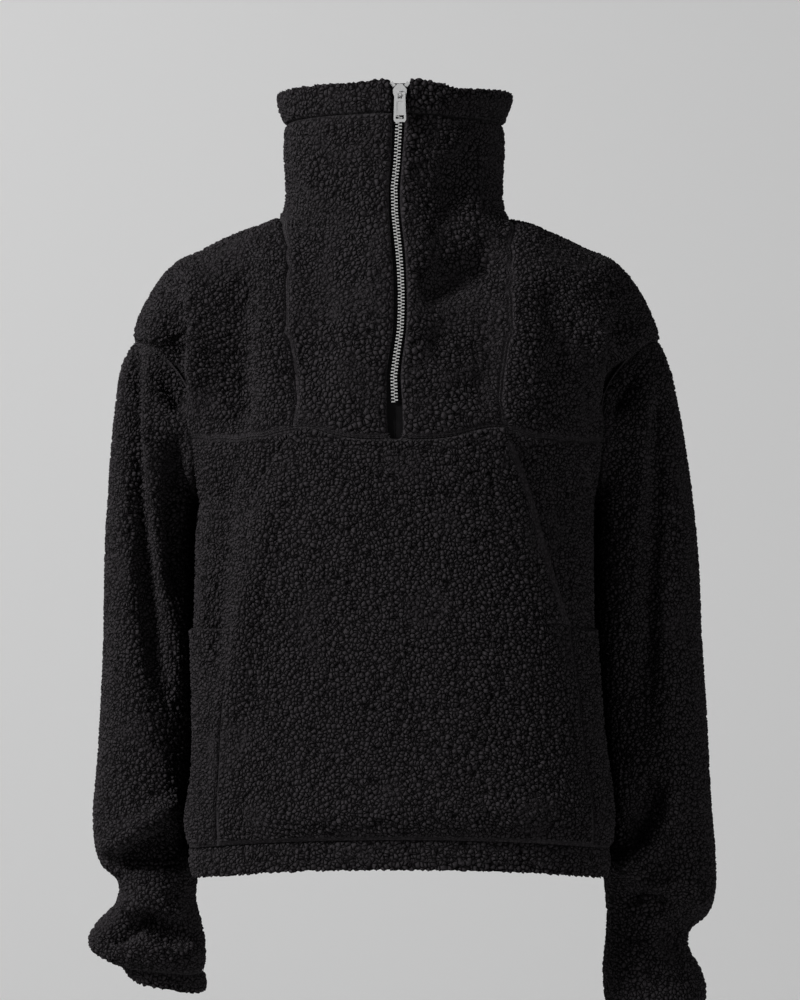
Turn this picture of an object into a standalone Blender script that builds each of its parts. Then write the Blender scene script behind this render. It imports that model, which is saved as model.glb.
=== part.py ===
"""Half-zip sherpa fleece pullover, hollow and open, in the shape it has when worn.

The origin is the middle of the neck at the height where the shoulders begin.
The front faces -Y and +Z is up. Left and right are the wearer's: left is +X.
"""
import bpy
import bmesh
from math import acos, asin, cos, exp, pi, radians, sin
from mathutils import Matrix, Vector

# Driving sizes in metres
FLEECE = 0.005            # one layer of fleece with its pile
BAND = 0.0065             # a folded band at the collar, hem or cuff
GAP = 0.0003              # clearance between neighbouring pieces
SHARPEST_CORNER = 0.35    # keeps the gap's step short at a piece's sharp corners
POCKET_RISE = 0.0046      # how far the pocket layer stands out from the body
POCKET_SEAM_RISE = 0.0026 # the same where it is sewn down
SIDE_SEAM_RISE = 0.0018   # the same where it runs into the side seam
SLEEVE_CLEARANCE = 0.007  # between a hanging sleeve and the body beside it

# Columns of the front, from the right side seam to the left one
SIDE_COLUMNS = 4          # side seam to the long princess seam or pocket edge
PANEL_COLUMNS = 6         # princess seam to the zip
RIGHT_EDGE = SIDE_COLUMNS
RIGHT_ZIP = SIDE_COLUMNS + PANEL_COLUMNS
LEFT_ZIP = RIGHT_ZIP + 1
LEFT_EDGE = LEFT_ZIP + PANEL_COLUMNS
FRONT_COLUMNS = LEFT_EDGE + SIDE_COLUMNS
BACK_COLUMNS = 18
ARMHOLE_STEPS = 12        # points down one side of an armhole
RING = 2 * ARMHOLE_STEPS  # points round a sleeve
YOKE_STEP = 7             # the yoke seam meets the armhole at this point

# Collar rings, from the top edge to the base of the neck
# height, half width right, half width left, side y, front y, back y
COLLAR = [
    (0.1065, 0.1015, 0.0985, -0.012, -0.114, 0.076),
    (0.0940, 0.1025, 0.0975, -0.011, -0.115, 0.077),
    (0.0820, 0.0945, 0.0895, -0.010, -0.110, 0.073),
    (0.0615, 0.0970, 0.0925, -0.010, -0.111, 0.075),
    (0.0410, 0.0955, 0.0905, -0.009, -0.109, 0.077),
    (0.0205, 0.0945, 0.0895, -0.008, -0.109, 0.081),
    (0.0000, 0.0965, 0.0920, -0.006, -0.113, 0.087),
]
BAND_ROWS = 2

# Shoulder rows, from the neck to the top of the armhole
# half width right, half width left, side z, side y, front z, front y, back z, back y
SHOULDER = [
    (0.1170, 0.1130, -0.0030, -0.004, -0.017, -0.1180, -0.008, 0.0920),
    (0.1450, 0.1410, -0.0125, -0.002, -0.033, -0.1240, -0.022, 0.0970),
    (0.1700, 0.1670, -0.0250, 0.000, -0.050, -0.1290, -0.038, 0.1020),
    (0.1940, 0.1910, -0.0415, 0.000, -0.066, -0.1340, -0.055, 0.1070),
    (0.2105, 0.2085, -0.0655, 0.000, -0.082, -0.1375, -0.075, 0.1110),
    (0.2262, 0.2225, -0.1010, 0.000, -0.098, -0.1400, -0.098, 0.1145),
]

# Half width of the body, by height, where the armhole seam crosses it
ARMHOLE_TOP = -0.101
UNDERARM = -0.235
ARMHOLE = [
    (-0.1010, 0.2245),
    (-0.1045, 0.2105),
    (-0.1185, 0.2040),
    (-0.1320, 0.1935),
    (-0.1450, 0.1875),
    (-0.1700, 0.1850),
    (-0.2000, 0.1795),
    (-0.2350, 0.1680),
]
# The same for the back, whose seam stands further out over the shoulder blade
ARMHOLE_BACK = [
    (-0.1010, 0.2245),
    (-0.1185, 0.2180),
    (-0.1450, 0.2080),
    (-0.1700, 0.1975),
    (-0.2000, 0.1850),
    (-0.2200, 0.1750),
    (-0.2350, 0.1680),
]
ARMHOLE_FRONT_Y = 0.058   # how far the seam swings forward and back from the side
ARMHOLE_BACK_Y = 0.064

# Rows of the body from the underarm to the hem seam and the hem's edge
# side z, half width right, half width left, side y, front z
BODY = [
    (-0.235, 0.1680, 0.1680, 0.000, -0.236),
    (-0.262, 0.1705, 0.1665, -0.020, -0.262),
    (-0.289, 0.1700, 0.1655, -0.035, -0.288),
    (-0.316, 0.1700, 0.1650, -0.045, -0.314),
    (-0.343, 0.1705, 0.1645, -0.052, -0.340),
    (-0.372, 0.1695, 0.1655, -0.056, -0.368),
    (-0.401, 0.1680, 0.1675, -0.058, -0.396),
    (-0.430, 0.1675, 0.1695, -0.060, -0.424),
    (-0.457, 0.1675, 0.1735, -0.060, -0.450),
    (-0.482, 0.1710, 0.1770, -0.060, -0.473),
    (-0.505, 0.1755, 0.1785, -0.060, -0.494),
    (-0.525, 0.1725, 0.1765, -0.058, -0.511),
    (-0.538, 0.1745, 0.1785, -0.059, -0.523),
    (-0.549, 0.1700, 0.1750, -0.058, -0.535),
]
HEM_ROWS = 2
POCKET_SIDE_STEP = 4      # the pocket's side pieces start this many rows below the underarm

# Depth of the body at its middle, by height: front y, back y, roundness of the section
DEPTH = [
    (0.000, -0.1130, 0.0870, 2.0),
    (-0.098, -0.1400, 0.1145, 2.15),
    (-0.190, -0.1425, 0.1210, 2.3),
    (-0.300, -0.1450, 0.1190, 2.4),
    (-0.430, -0.1470, 0.1160, 2.4),
    (-0.490, -0.1515, 0.1210, 2.4),
    (-0.513, -0.1470, 0.1180, 2.4),
    (-0.525, -0.1500, 0.1195, 2.4),
    (-0.549, -0.1470, 0.1165, 2.4),
]

# Front z of the rows between the armhole's top and the underarm
ARMHOLE_FRONT_Z = [
    -0.098, -0.110, -0.123, -0.136, -0.149, -0.162, -0.175, -0.187,
    -0.198, -0.208, -0.217, -0.226, -0.236,
]

# The princess seam and, below the yoke, the pocket's slanted edge: height, right x, left x
PANEL_EDGE = [
    (0.000, 0.0965, 0.0985),
    (-0.042, 0.0905, 0.0950),
    (-0.075, 0.0865, 0.0905),
    (-0.110, 0.0835, 0.0880),
    (-0.140, 0.0810, 0.0860),
    (-0.166, 0.0800, 0.0845),
    (-0.187, 0.0825, 0.0875),
    (-0.201, 0.0960, 0.0975),
    (-0.216, 0.1090, 0.1040),
    (-0.234, 0.1145, 0.1090),
    (-0.265, 0.1195, 0.1170),
    (-0.291, 0.1240, 0.1250),
    (-0.322, 0.1295, 0.1345),
    (-0.350, 0.1350, 0.1420),
    (-0.375, 0.1380, 0.1465),
    (-0.416, 0.1425, 0.1505),
    (-0.455, 0.1450, 0.1560),
    (-0.483, 0.1460, 0.1605),
    (-0.525, 0.1470, 0.1625),
]

# The zip's line and half the slit's width, by height
ZIP_LINE = [
    (0.107, 0.0024, 0.0088),
    (0.094, 0.0024, 0.0066),
    (0.078, 0.0018, 0.0048),
    (0.041, 0.0000, 0.0045),
    (0.014, -0.0025, 0.0045),
    (-0.018, 0.0000, 0.0045),
    (-0.043, 0.0025, 0.0045),
    (-0.074, 0.0037, 0.0045),
    (-0.096, 0.0029, 0.0045),
    (-0.116, 0.0000, 0.0045),
    (-0.138, -0.0025, 0.0047),
    (-0.157, -0.0016, 0.0050),
    (-0.187, -0.0010, 0.0050),
]

# The yoke seam rises over each pocket corner and sits lower on the left side
YOKE_BUMP_X = 0.080
YOKE_BUMP_WIDTH = 0.028
YOKE_BUMP_RISE = 0.011
YOKE_LEFT_DROP = 0.005
YOKE_SHARE = {YOKE_STEP - 1: 0.5, YOKE_STEP: 1.0, YOKE_STEP + 1: 0.5}

# Large folds of the front and the back: two ends (x, z), half width, depth into the body
FRONT_FOLDS = [
    (-0.187, -0.080, -0.186, -0.140, 0.011, 0.008),
    (0.186, -0.080, 0.184, -0.140, 0.011, 0.008),
    (-0.150, -0.070, -0.148, -0.150, 0.016, 0.006),
    (0.022, -0.066, 0.080, -0.034, 0.018, 0.007),
    (0.036, -0.090, 0.030, -0.130, 0.018, 0.004),
    (-0.060, -0.100, -0.030, -0.160, 0.016, -0.004),
    (-0.055, 0.060, -0.075, 0.010, 0.014, -0.004),
    (0.055, 0.055, 0.075, 0.005, 0.014, -0.004),
    (0.030, 0.055, 0.040, 0.010, 0.015, 0.004),
    (-0.100, -0.235, -0.112, -0.330, 0.020, -0.004),
]
BACK_FOLDS = [
    (-0.120, -0.120, -0.100, -0.260, 0.022, 0.006),
    (0.125, -0.115, 0.098, -0.270, 0.022, 0.006),
    (-0.020, -0.330, 0.070, -0.480, 0.026, 0.004),
    (-0.090, -0.380, -0.060, -0.490, 0.022, 0.005),
    (0.000, 0.060, 0.005, 0.020, 0.030, 0.003),
]

# Sleeve outline, by height: distance of the outer and inner edge, front y, back y
SLEEVE = {
    -1: [
        (-0.1158, 0.2345, 0.1720, -0.060, 0.062),
        (-0.1500, 0.2390, 0.1720, -0.058, 0.068),
        (-0.1850, 0.2430, 0.1720, -0.056, 0.075),
        (-0.2350, 0.2470, 0.1720, -0.054, 0.088),
        (-0.2875, 0.2500, 0.1690, -0.052, 0.101),
        (-0.3560, 0.2505, 0.1660, -0.053, 0.100),
        (-0.4250, 0.2535, 0.1655, -0.058, 0.090),
        (-0.4590, 0.2545, 0.1650, -0.061, 0.082),
        (-0.4940, 0.2585, 0.1645, -0.066, 0.075),
        (-0.5160, 0.2580, 0.1640, -0.066, 0.070),
        (-0.5340, 0.2560, 0.1640, -0.056, 0.064),
        (-0.5480, 0.2510, 0.1660, -0.050, 0.056),
        (-0.5640, 0.2370, 0.1700, -0.052, 0.048),
        (-0.5780, 0.2360, 0.1715, -0.052, 0.046),
        (-0.5920, 0.2530, 0.1670, -0.050, 0.056),
        (-0.6050, 0.2630, 0.1635, -0.064, 0.062),
        (-0.6180, 0.2620, 0.1625, -0.066, 0.060),
        (-0.6300, 0.2480, 0.1630, -0.056, 0.054),
        (-0.6370, 0.2330, 0.1640, -0.044, 0.048),
        (-0.6450, 0.2320, 0.1620, -0.043, 0.048),
        (-0.6530, 0.2260, 0.1630, -0.040, 0.044),
    ],
    1: [
        (-0.1158, 0.2310, 0.1700, -0.060, 0.062),
        (-0.1500, 0.2385, 0.1700, -0.058, 0.068),
        (-0.1850, 0.2450, 0.1700, -0.056, 0.075),
        (-0.2350, 0.2525, 0.1700, -0.054, 0.088),
        (-0.2875, 0.2578, 0.1670, -0.052, 0.101),
        (-0.3560, 0.2605, 0.1650, -0.053, 0.100),
        (-0.4250, 0.2645, 0.1655, -0.058, 0.090),
        (-0.4940, 0.2670, 0.1680, -0.064, 0.078),
        (-0.5280, 0.2700, 0.1710, -0.064, 0.072),
        (-0.5500, 0.2710, 0.1740, -0.066, 0.068),
        (-0.5660, 0.2703, 0.1760, -0.066, 0.064),
        (-0.5830, 0.2670, 0.1785, -0.058, 0.060),
        (-0.6000, 0.2590, 0.1785, -0.054, 0.056),
        (-0.6160, 0.2470, 0.1765, -0.054, 0.050),
        (-0.6310, 0.2570, 0.1745, -0.058, 0.056),
        (-0.6470, 0.2635, 0.1755, -0.064, 0.062),
        (-0.6640, 0.2615, 0.1775, -0.066, 0.062),
        (-0.6780, 0.2520, 0.1785, -0.058, 0.055),
        (-0.6860, 0.2400, 0.1790, -0.044, 0.048),
        (-0.6950, 0.2390, 0.1780, -0.043, 0.048),
        (-0.7040, 0.2340, 0.1785, -0.040, 0.044),
    ],
}
SLEEVE_ROUNDNESS = 2.3

# Heights of the sleeve's upper rings at their outer and inner side
FAN = [
    (-0.1160, -0.2385),
    (-0.1340, -0.2430),
    (-0.1550, -0.2485),
    (-0.1780, -0.2550),
    (-0.2030, -0.2630),
    (-0.2300, -0.2730),
    (-0.2590, -0.2850),
    (-0.2900, -0.3020),
    (-0.3220, -0.3250),
]
# Heights of the level rings below: right sleeve and left sleeve, the last two are the cuff's
LEVEL = {
    -1: [
        -0.353, -0.384, -0.415, -0.445, -0.472, -0.496, -0.516, -0.534, -0.549,
        -0.564, -0.578, -0.592, -0.605, -0.618, -0.630, -0.637, -0.645, -0.653,
    ],
    1: [
        -0.353, -0.384, -0.415, -0.445, -0.472, -0.499, -0.525, -0.548, -0.566,
        -0.583, -0.600, -0.616, -0.631, -0.647, -0.664, -0.678, -0.686, -0.695, -0.704,
    ],
}
CUFF_RINGS = 2
CUFF_TILT = {-1: 0.012, 1: 0.004}   # the outer end of the cuff's edge is this much higher
CUFF_TILT_REACH = 0.045

# Sleeve folds seen from the front: path of (x, z, depth), then half width
SLEEVE_FOLDS = {
    -1: [
        ([(-0.2250, -0.110, 0.003), (-0.2190, -0.187, 0.006), (-0.2150, -0.230, 0.008),
          (-0.2095, -0.290, 0.011), (-0.2040, -0.340, 0.012), (-0.1950, -0.395, 0.011),
          (-0.1850, -0.440, 0.008)], 0.0105),
        ([(-0.1750, -0.539, 0.012), (-0.2000, -0.5375, 0.013), (-0.2280, -0.535, 0.006)], 0.0085),
        ([(-0.1900, -0.505, -0.003), (-0.2400, -0.522, -0.006)], 0.012),
        ([(-0.1750, -0.596, 0.005), (-0.2000, -0.590, 0.007), (-0.2300, -0.596, 0.004)], 0.008),
    ],
    1: [
        ([(0.2290, -0.118, 0.003), (0.2220, -0.190, 0.007), (0.2175, -0.240, 0.008),
          (0.2115, -0.290, 0.009), (0.2060, -0.350, 0.009), (0.1990, -0.400, 0.008),
          (0.1920, -0.450, 0.006)], 0.0125),
        ([(0.2150, -0.470, 0.006), (0.1950, -0.510, 0.009), (0.1800, -0.545, 0.009)], 0.014),
        ([(0.1900, -0.574, 0.006), (0.2150, -0.583, 0.008), (0.2400, -0.606, 0.009)], 0.010),
        ([(0.2050, -0.560, -0.003), (0.2600, -0.568, -0.005)], 0.010),
    ],
}
# Sleeve folds on the hidden back side, in the same way
SLEEVE_BACK_FOLDS = {
    -1: [
        ([(-0.2200, -0.170, 0.004), (-0.2050, -0.300, 0.008), (-0.2100, -0.400, 0.004)], 0.014),
        ([(-0.1800, -0.350, 0.007), (-0.2350, -0.375, 0.006)], 0.011),
        ([(-0.1850, -0.530, 0.008), (-0.2400, -0.520, 0.006)], 0.010),
    ],
    1: [
        ([(0.2250, -0.180, 0.004), (0.2080, -0.310, 0.008), (0.2150, -0.410, 0.004)], 0.014),
        ([(0.1820, -0.365, 0.007), (0.2400, -0.350, 0.006)], 0.011),
        ([(0.1900, -0.545, 0.008), (0.2550, -0.560, 0.006)], 0.011),
    ],
}

# Zip hardware
TAPE_THICK = 0.0008
TAPE_UNDER = 0.0095       # how far a tape reaches under the fleece beside the slit
TAPE_DEPTH = FLEECE + 0.0006
CHAIN_WIDTH = 0.0060
CHAIN_BACK = 0.0050       # depth of the chain's back and face below the fleece's surface
CHAIN_FACE = 0.0026
CHAIN_BOTTOM = -0.157
SLIDER_X = 0.0024
SLIDER_TOP = 0.1042
SLIDER_BOTTOM = 0.0930
CHAIN_TOP = SLIDER_BOTTOM - GAP
SLIDER_WIDE = 0.0112
SLIDER_NARROW = 0.0084
COLLAR_FACE = -0.1150     # y of the fleece's surface at the slider
SLIDER_PROUD = 0.0005
PIVOT_Z = 0.0966
PIVOT_OUT = 0.0017        # the pull's pin in front of the fleece's surface
PIN = 0.0011              # thickness of the pull and its pin
BAIL_WIDE = 0.0024
BAIL_THICK = 0.0012
BAIL_CLEAR = 0.0011       # from the pin's middle to the bail round it
PULL_BOTTOM = 0.0728
PULL_TOP_WIDE = 0.0088
PULL_BOTTOM_WIDE = 0.0102
PULL_CORNER = 0.0020      # height of the corners cut off the pull's lower end
PULL_CORNER_SHARE = 0.8   # share of the lower end that stays between them
PULL_SLOT = (0.0066, 0.0032)
PULL_SLOT_UP = 0.0040     # from the pull's lower end to the slot's middle
PULL_RECESS = (0.0052, 0.0100)
PULL_RECESS_UP = 0.0120
PULL_RECESS_OUT = 0.7     # the recess's middle, in front of the pull's by this many thicknesses
STOP_SIZE = (0.0030, 0.0022, 0.0042)
STOP_TURN = 38
STOP_PLACE = (0.0059, 0.1042)
PULL_BODY_CLEAR = 0.0003
SLIDER_BACK_CLEAR = 0.0007
BAIL_BEND = 0.6           # share of the bail's reach where its corners are bent
BAIL_SINK = 0.0004        # how far the bail's feet go into the slider
BELOW_HEM = 0.02          # a sleeve keeps clear of the body down to here below the hem
FRONT_FOLD_FADE = 3       # folds fade out this steeply towards the side seams
BACK_FOLD_FADE = 2
SLEEVE_FOLD_FADE = 1.6
SMALLEST_EDGE = 0.001     # keeps a column's place on its own side of the middle


def along(table, place):
    """Read a table's columns at a place along its first column, on a smooth curve."""
    rows = sorted(table)
    if place <= rows[0][0]:
        return rows[0][1:]
    if place >= rows[-1][0]:
        return rows[-1][1:]
    upper = next(i for i, row in enumerate(rows) if row[0] > place)
    lower = upper - 1

    def secant(i, column):
        return (rows[i + 1][column] - rows[i][column]) / (rows[i + 1][0] - rows[i][0])

    def slope(i, column):
        if i == 0 or i == len(rows) - 1:
            return secant(max(i - 1, 0), column)
        before, after = secant(i - 1, column), secant(i, column)
        if before * after <= 0:
            return 0.0
        return 2 * before * after / (before + after)

    step = rows[upper][0] - rows[lower][0]
    t = (place - rows[lower][0]) / step
    values = []
    for column in range(1, len(rows[0])):
        start, end = rows[lower][column], rows[upper][column]
        curve = (2 * t**3 - 3 * t**2 + 1) * start + (3 * t**2 - 2 * t**3) * end
        curve += (t**3 - 2 * t**2 + t) * step * slope(lower, column)
        curve += (t**3 - t**2) * step * slope(upper, column)
        values.append(curve)
    return tuple(values)


def rounded(angle, roundness):
    """Both coordinates of a superellipse of radius 1, the angle in radians."""
    def part(value):
        return (1 if value >= 0 else -1) * abs(value) ** (2 / roundness)
    return part(sin(angle)), part(cos(angle))


def fold_depth(folds, x, z):
    """Depth of straight folds at a point: each is a soft trough round its line."""
    total = 0.0
    for x0, z0, x1, z1, half_width, depth in folds:
        run = Vector((x1 - x0, z1 - z0))
        share = Vector((x - x0, z - z0)).dot(run) / run.length_squared
        share = min(max(share, 0.0), 1.0)
        away = Vector((x - x0, z - z0)) - run * share
        total += depth * exp(-away.length_squared / half_width**2)
    return total


def path_fold_depth(folds, x, z):
    """Depth of folds that follow a path whose points each have their own depth."""
    total = 0.0
    for path, half_width in folds:
        best = 0.0
        for (x0, z0, depth0), (x1, z1, depth1) in zip(path, path[1:]):
            run = Vector((x1 - x0, z1 - z0))
            share = Vector((x - x0, z - z0)).dot(run) / run.length_squared
            share = min(max(share, 0.0), 1.0)
            away = Vector((x - x0, z - z0)) - run * share
            here = (depth0 + (depth1 - depth0) * share) * exp(-away.length_squared / half_width**2)
            if abs(here) > abs(best):
                best = here
        total += best
    return total


class Cloth:
    """The garment's base surface: shared points, and faces that name their piece."""

    def __init__(self):
        self.points = []
        self.panels = {}

    def add(self, x, y, z):
        self.points.append(Vector((x, y, z)))
        return len(self.points) - 1

    def face(self, panel, *corners):
        unique = tuple(dict.fromkeys(corners))
        if len(unique) > 2:
            self.panels.setdefault(panel, []).append(unique)


def armhole_height(step):
    return ARMHOLE_TOP + (UNDERARM - ARMHOLE_TOP) * (1 - cos(pi * step / ARMHOLE_STEPS)) / 2


def garment_rows():
    """Every row of the body, top to bottom, as a dictionary of its named places."""
    rows = []
    for z, right, left, side_y, front_y, back_y in COLLAR:
        rows.append(dict(half={-1: right, 1: left}, side_z=z, side_y=side_y, front_z=z,
                         front_y=front_y, back_z=z, back_y=back_y, kind="collar"))
    for right, left, side_z, side_y, front_z, front_y, back_z, back_y in SHOULDER:
        rows.append(dict(half={-1: right, 1: left}, side_z=side_z, side_y=side_y,
                         front_z=front_z, front_y=front_y, back_z=back_z, back_y=back_y,
                         kind="shoulder"))
    for step in range(1, ARMHOLE_STEPS):
        z = armhole_height(step)
        half = along(ARMHOLE, z)[0]
        swing = sin(pi * step / ARMHOLE_STEPS)
        front_z = ARMHOLE_FRONT_Z[step]
        front_y, back_y, roundness = along(DEPTH, front_z)
        front_start = acos((ARMHOLE_FRONT_Y * swing / -front_y) ** (roundness / 2))
        back_start = acos((ARMHOLE_BACK_Y * swing / back_y) ** (roundness / 2))
        rows.append(dict(half={-1: half, 1: half}, side_z=z, side_y=0.0, front_z=front_z,
                         front_y=front_y, back_z=z, back_y=back_y, kind="armhole", step=step,
                         front_start=front_start, back_start=back_start,
                         back_half=along(ARMHOLE_BACK, z)[0]))
    for side_z, right, left, side_y, front_z in BODY:
        front_y, back_y, _ = along(DEPTH, front_z)
        rows.append(dict(half={-1: right, 1: left}, side_z=side_z, side_y=side_y,
                         front_z=front_z, front_y=front_y, back_z=side_z, back_y=back_y,
                         kind="body"))
    return rows


NECK_ROW = len(COLLAR) - 1
ARMHOLE_ROW = NECK_ROW + len(SHOULDER)
YOKE_ROW = ARMHOLE_ROW + YOKE_STEP
UNDERARM_ROW = ARMHOLE_ROW + ARMHOLE_STEPS
POCKET_SIDE_ROW = UNDERARM_ROW + POCKET_SIDE_STEP
LAST_ROW = UNDERARM_ROW + len(BODY) - 1
HEM_ROW = LAST_ROW - HEM_ROWS


def front_columns(row, side):
    """Angles from the side or armhole seam to the zip, for one half of a front row."""
    roundness = along(DEPTH, row["front_z"])[2]
    half = row["half"][side]
    zip_x, slit = along(ZIP_LINE, row["front_z"])
    edge_x = along(PANEL_EDGE, row["front_z"])[0 if side < 0 else 1]
    start = row.get("front_start", pi / 2)
    edge = pi / 2 if row["kind"] == "collar" else asin(min(edge_x / half, 1) ** (roundness / 2))
    middle = asin(max(side * zip_x + slit, SMALLEST_EDGE) / half) ** (roundness / 2)
    angles = [start + (edge - start) * i / SIDE_COLUMNS for i in range(SIDE_COLUMNS)]
    angles += [edge + (middle - edge) * i / PANEL_COLUMNS for i in range(PANEL_COLUMNS + 1)]
    return angles, roundness


def front_point(row, side, angle, roundness):
    """A point of the front row: the side is at a quarter turn, the centre front at zero."""
    across, towards = rounded(angle, roundness)
    x = side * row["half"][side] * across
    y = row["side_y"] + (row["front_y"] - row["side_y"]) * towards
    z = row["side_z"] + (row["front_z"] - row["side_z"]) * towards**2
    if row.get("step") in YOKE_SHARE:
        share = YOKE_SHARE[row["step"]]
        z += share * YOKE_BUMP_RISE * exp(-(((abs(x) - YOKE_BUMP_X) / YOKE_BUMP_WIDTH) ** 2))
        if side > 0:
            z -= share * YOKE_LEFT_DROP * (1 - towards)
    y += fold_depth(FRONT_FOLDS, x, z) * min(1.0, FRONT_FOLD_FADE * towards)
    return x, y, z


def back_point(row, turn):
    """A point of the back row: turn is positive on the left and negative on the right."""
    roundness = along(DEPTH, row["front_z"])[2]
    across, towards = rounded(turn, roundness)
    side = 1 if turn > 0 else -1
    x = row.get("back_half", row["half"][side]) * across
    y = row["side_y"] + (row["back_y"] - row["side_y"]) * towards
    z = row["side_z"] + (row["back_z"] - row["side_z"]) * towards**2
    y -= fold_depth(BACK_FOLDS, x, z) * min(1.0, BACK_FOLD_FADE * towards)
    return x, y, z


def lay_body(cloth):
    """Lay the front and back grids of points; they share the side and shoulder lines."""
    front, back = [], []
    for index, row in enumerate(garment_rows()):
        line = [None] * (FRONT_COLUMNS + 1)
        for side in (-1, 1):
            angles, roundness = front_columns(row, side)
            for step, angle in enumerate(angles):
                column = step if side < 0 else FRONT_COLUMNS - step
                if index <= NECK_ROW and 0 < step <= SIDE_COLUMNS:
                    line[column] = line[0 if side < 0 else FRONT_COLUMNS]
                    continue
                line[column] = cloth.add(*front_point(row, side, angle, roundness))
        front.append(line)
        start = row.get("back_start", pi / 2)
        turns = [start * (1 - 2 * i / BACK_COLUMNS) for i in range(BACK_COLUMNS + 1)]
        behind = [cloth.add(*back_point(row, turn)) for turn in turns[1:-1]]
        if row["kind"] == "armhole":
            ends = [cloth.add(*back_point(row, turns[0])), cloth.add(*back_point(row, turns[-1]))]
        else:
            ends = [line[FRONT_COLUMNS], line[0]]
        back.append([ends[0]] + behind + [ends[1]])
    return front, back


def cover(cloth, panel, grid, rows, columns):
    """Give one panel the grid's faces between two rows and two columns."""
    for r in range(*rows):
        for c in range(*columns):
            cloth.face(panel, grid[r][c], grid[r + 1][c], grid[r + 1][c + 1], grid[r][c + 1])


def body_clear_x(y, z):
    """How far out the body reaches beside a sleeve at a height, with its pocket layer."""
    right, left, side_y, _ = along(BODY, z)
    half = {-1: right, 1: left}
    front_y, back_y, roundness = along(DEPTH, z)
    reach = (front_y if y < side_y else back_y) - side_y
    share = min(abs((y - side_y) / reach), 1.0)
    flat = (1 - share**roundness) ** (1 / roundness)
    return {side: half[side] * flat + SLEEVE_CLEARANCE for side in (-1, 1)}


def lay_sleeve(cloth, front, back, side):
    """Lay a sleeve's rings: the first is the armhole, the others come from its outline."""
    column = FRONT_COLUMNS if side > 0 else 0
    back_column = 0 if side > 0 else BACK_COLUMNS
    seam = [front[ARMHOLE_ROW + k][column] for k in range(ARMHOLE_STEPS + 1)]
    seam += [back[UNDERARM_ROW - k][back_column] for k in range(1, ARMHOLE_STEPS)]
    rings = [seam]
    heights = FAN + [(z, z) for z in LEVEL[side]]
    bottom = heights[-1][0]
    for outer_z, inner_z in heights:
        ring = []
        outer = along(SLEEVE[side], outer_z)[0]
        inner = along(SLEEVE[side], inner_z)[1]
        _, _, front_y, back_y = along(SLEEVE[side], (outer_z + inner_z) / 2)
        for k in range(RING):
            towards, out = rounded(2 * pi * k / RING, SLEEVE_ROUNDNESS)
            turn = (1 - cos(2 * pi * k / RING)) / 2
            z = outer_z + (inner_z - outer_z) * turn
            tilt = max(0.0, 1 - (z - bottom) / CUFF_TILT_REACH)
            z += CUFF_TILT[side] * tilt * (1 - turn)
            x = side * ((outer + inner) / 2 + (outer - inner) / 2 * out)
            y = (front_y + back_y) / 2 - (back_y - front_y) / 2 * towards
            fade = min(1.0, SLEEVE_FOLD_FADE * abs(towards))
            if towards > 0:
                y += path_fold_depth(SLEEVE_FOLDS[side], x, z) * fade
            else:
                y -= path_fold_depth(SLEEVE_BACK_FOLDS[side], x, z) * fade
            if z > BODY[-1][0] - BELOW_HEM:
                x = side * max(abs(x), body_clear_x(y, z)[side])
            ring.append(cloth.add(x, y, z))
        rings.append(ring)
    names = {-1: "right", 1: "left"}
    cuff_start = len(rings) - 1 - CUFF_RINGS
    for j in range(len(rings) - 1):
        panel = ("sleeve_" if j < cuff_start else "cuff_") + names[side]
        for k in range(RING):
            after = (k + 1) % RING
            corners = (rings[j][k], rings[j + 1][k], rings[j + 1][after], rings[j][after])
            cloth.face(panel, *(corners if side < 0 else corners[::-1]))


def lay_garment():
    """The whole base surface, each stretch of it given to its own cut piece."""
    cloth = Cloth()
    front, back = lay_body(cloth)
    band, collar = (0, BAND_ROWS), (BAND_ROWS, NECK_ROW)
    right, left = (RIGHT_EDGE, RIGHT_ZIP), (LEFT_ZIP, LEFT_EDGE)
    cover(cloth, "collar_band_right", front, band, right)
    cover(cloth, "collar_band_left", front, band, left)
    cover(cloth, "collar_band_back", back, band, (0, BACK_COLUMNS))
    cover(cloth, "collar_back", back, collar, (0, BACK_COLUMNS))
    cover(cloth, "front_right", front, (BAND_ROWS, YOKE_ROW), right)
    cover(cloth, "front_left", front, (BAND_ROWS, YOKE_ROW), left)
    cover(cloth, "yoke_right", front, (NECK_ROW, YOKE_ROW), (0, RIGHT_EDGE))
    cover(cloth, "yoke_left", front, (NECK_ROW, YOKE_ROW), (LEFT_EDGE, FRONT_COLUMNS))
    cover(cloth, "front_body", front, (YOKE_ROW, HEM_ROW), (0, FRONT_COLUMNS))
    cover(cloth, "hem_front", front, (HEM_ROW, LAST_ROW), (0, FRONT_COLUMNS))
    cover(cloth, "back_panel", back, (NECK_ROW, HEM_ROW), (0, BACK_COLUMNS))
    cover(cloth, "hem_back", back, (HEM_ROW, LAST_ROW), (0, BACK_COLUMNS))
    lay_sleeve(cloth, front, back, -1)
    lay_sleeve(cloth, front, back, 1)
    return cloth, front


def face_normal(cloth, face):
    """Twice the area times the normal of a face of three or four corners."""
    p = [cloth.points[i] for i in face]
    if len(p) == 3:
        return (p[1] - p[0]).cross(p[2] - p[0])
    return (p[2] - p[0]).cross(p[3] - p[1])


def surface_normals(cloth, front):
    """One normal for each point, the same for every piece that meets there."""
    sums = [Vector() for _ in cloth.points]
    for faces in cloth.panels.values():
        own = {}
        for face in faces:
            normal = face_normal(cloth, face)
            for i in face:
                own[i] = own.get(i, Vector()) + normal
        for i, normal in own.items():
            sums[i] += normal.normalized()
    for row in front[:YOKE_ROW + 1]:
        for column in (RIGHT_ZIP, LEFT_ZIP):
            sums[row[column]].x = 0
    return [total.normalized() for total in sums]


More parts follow.
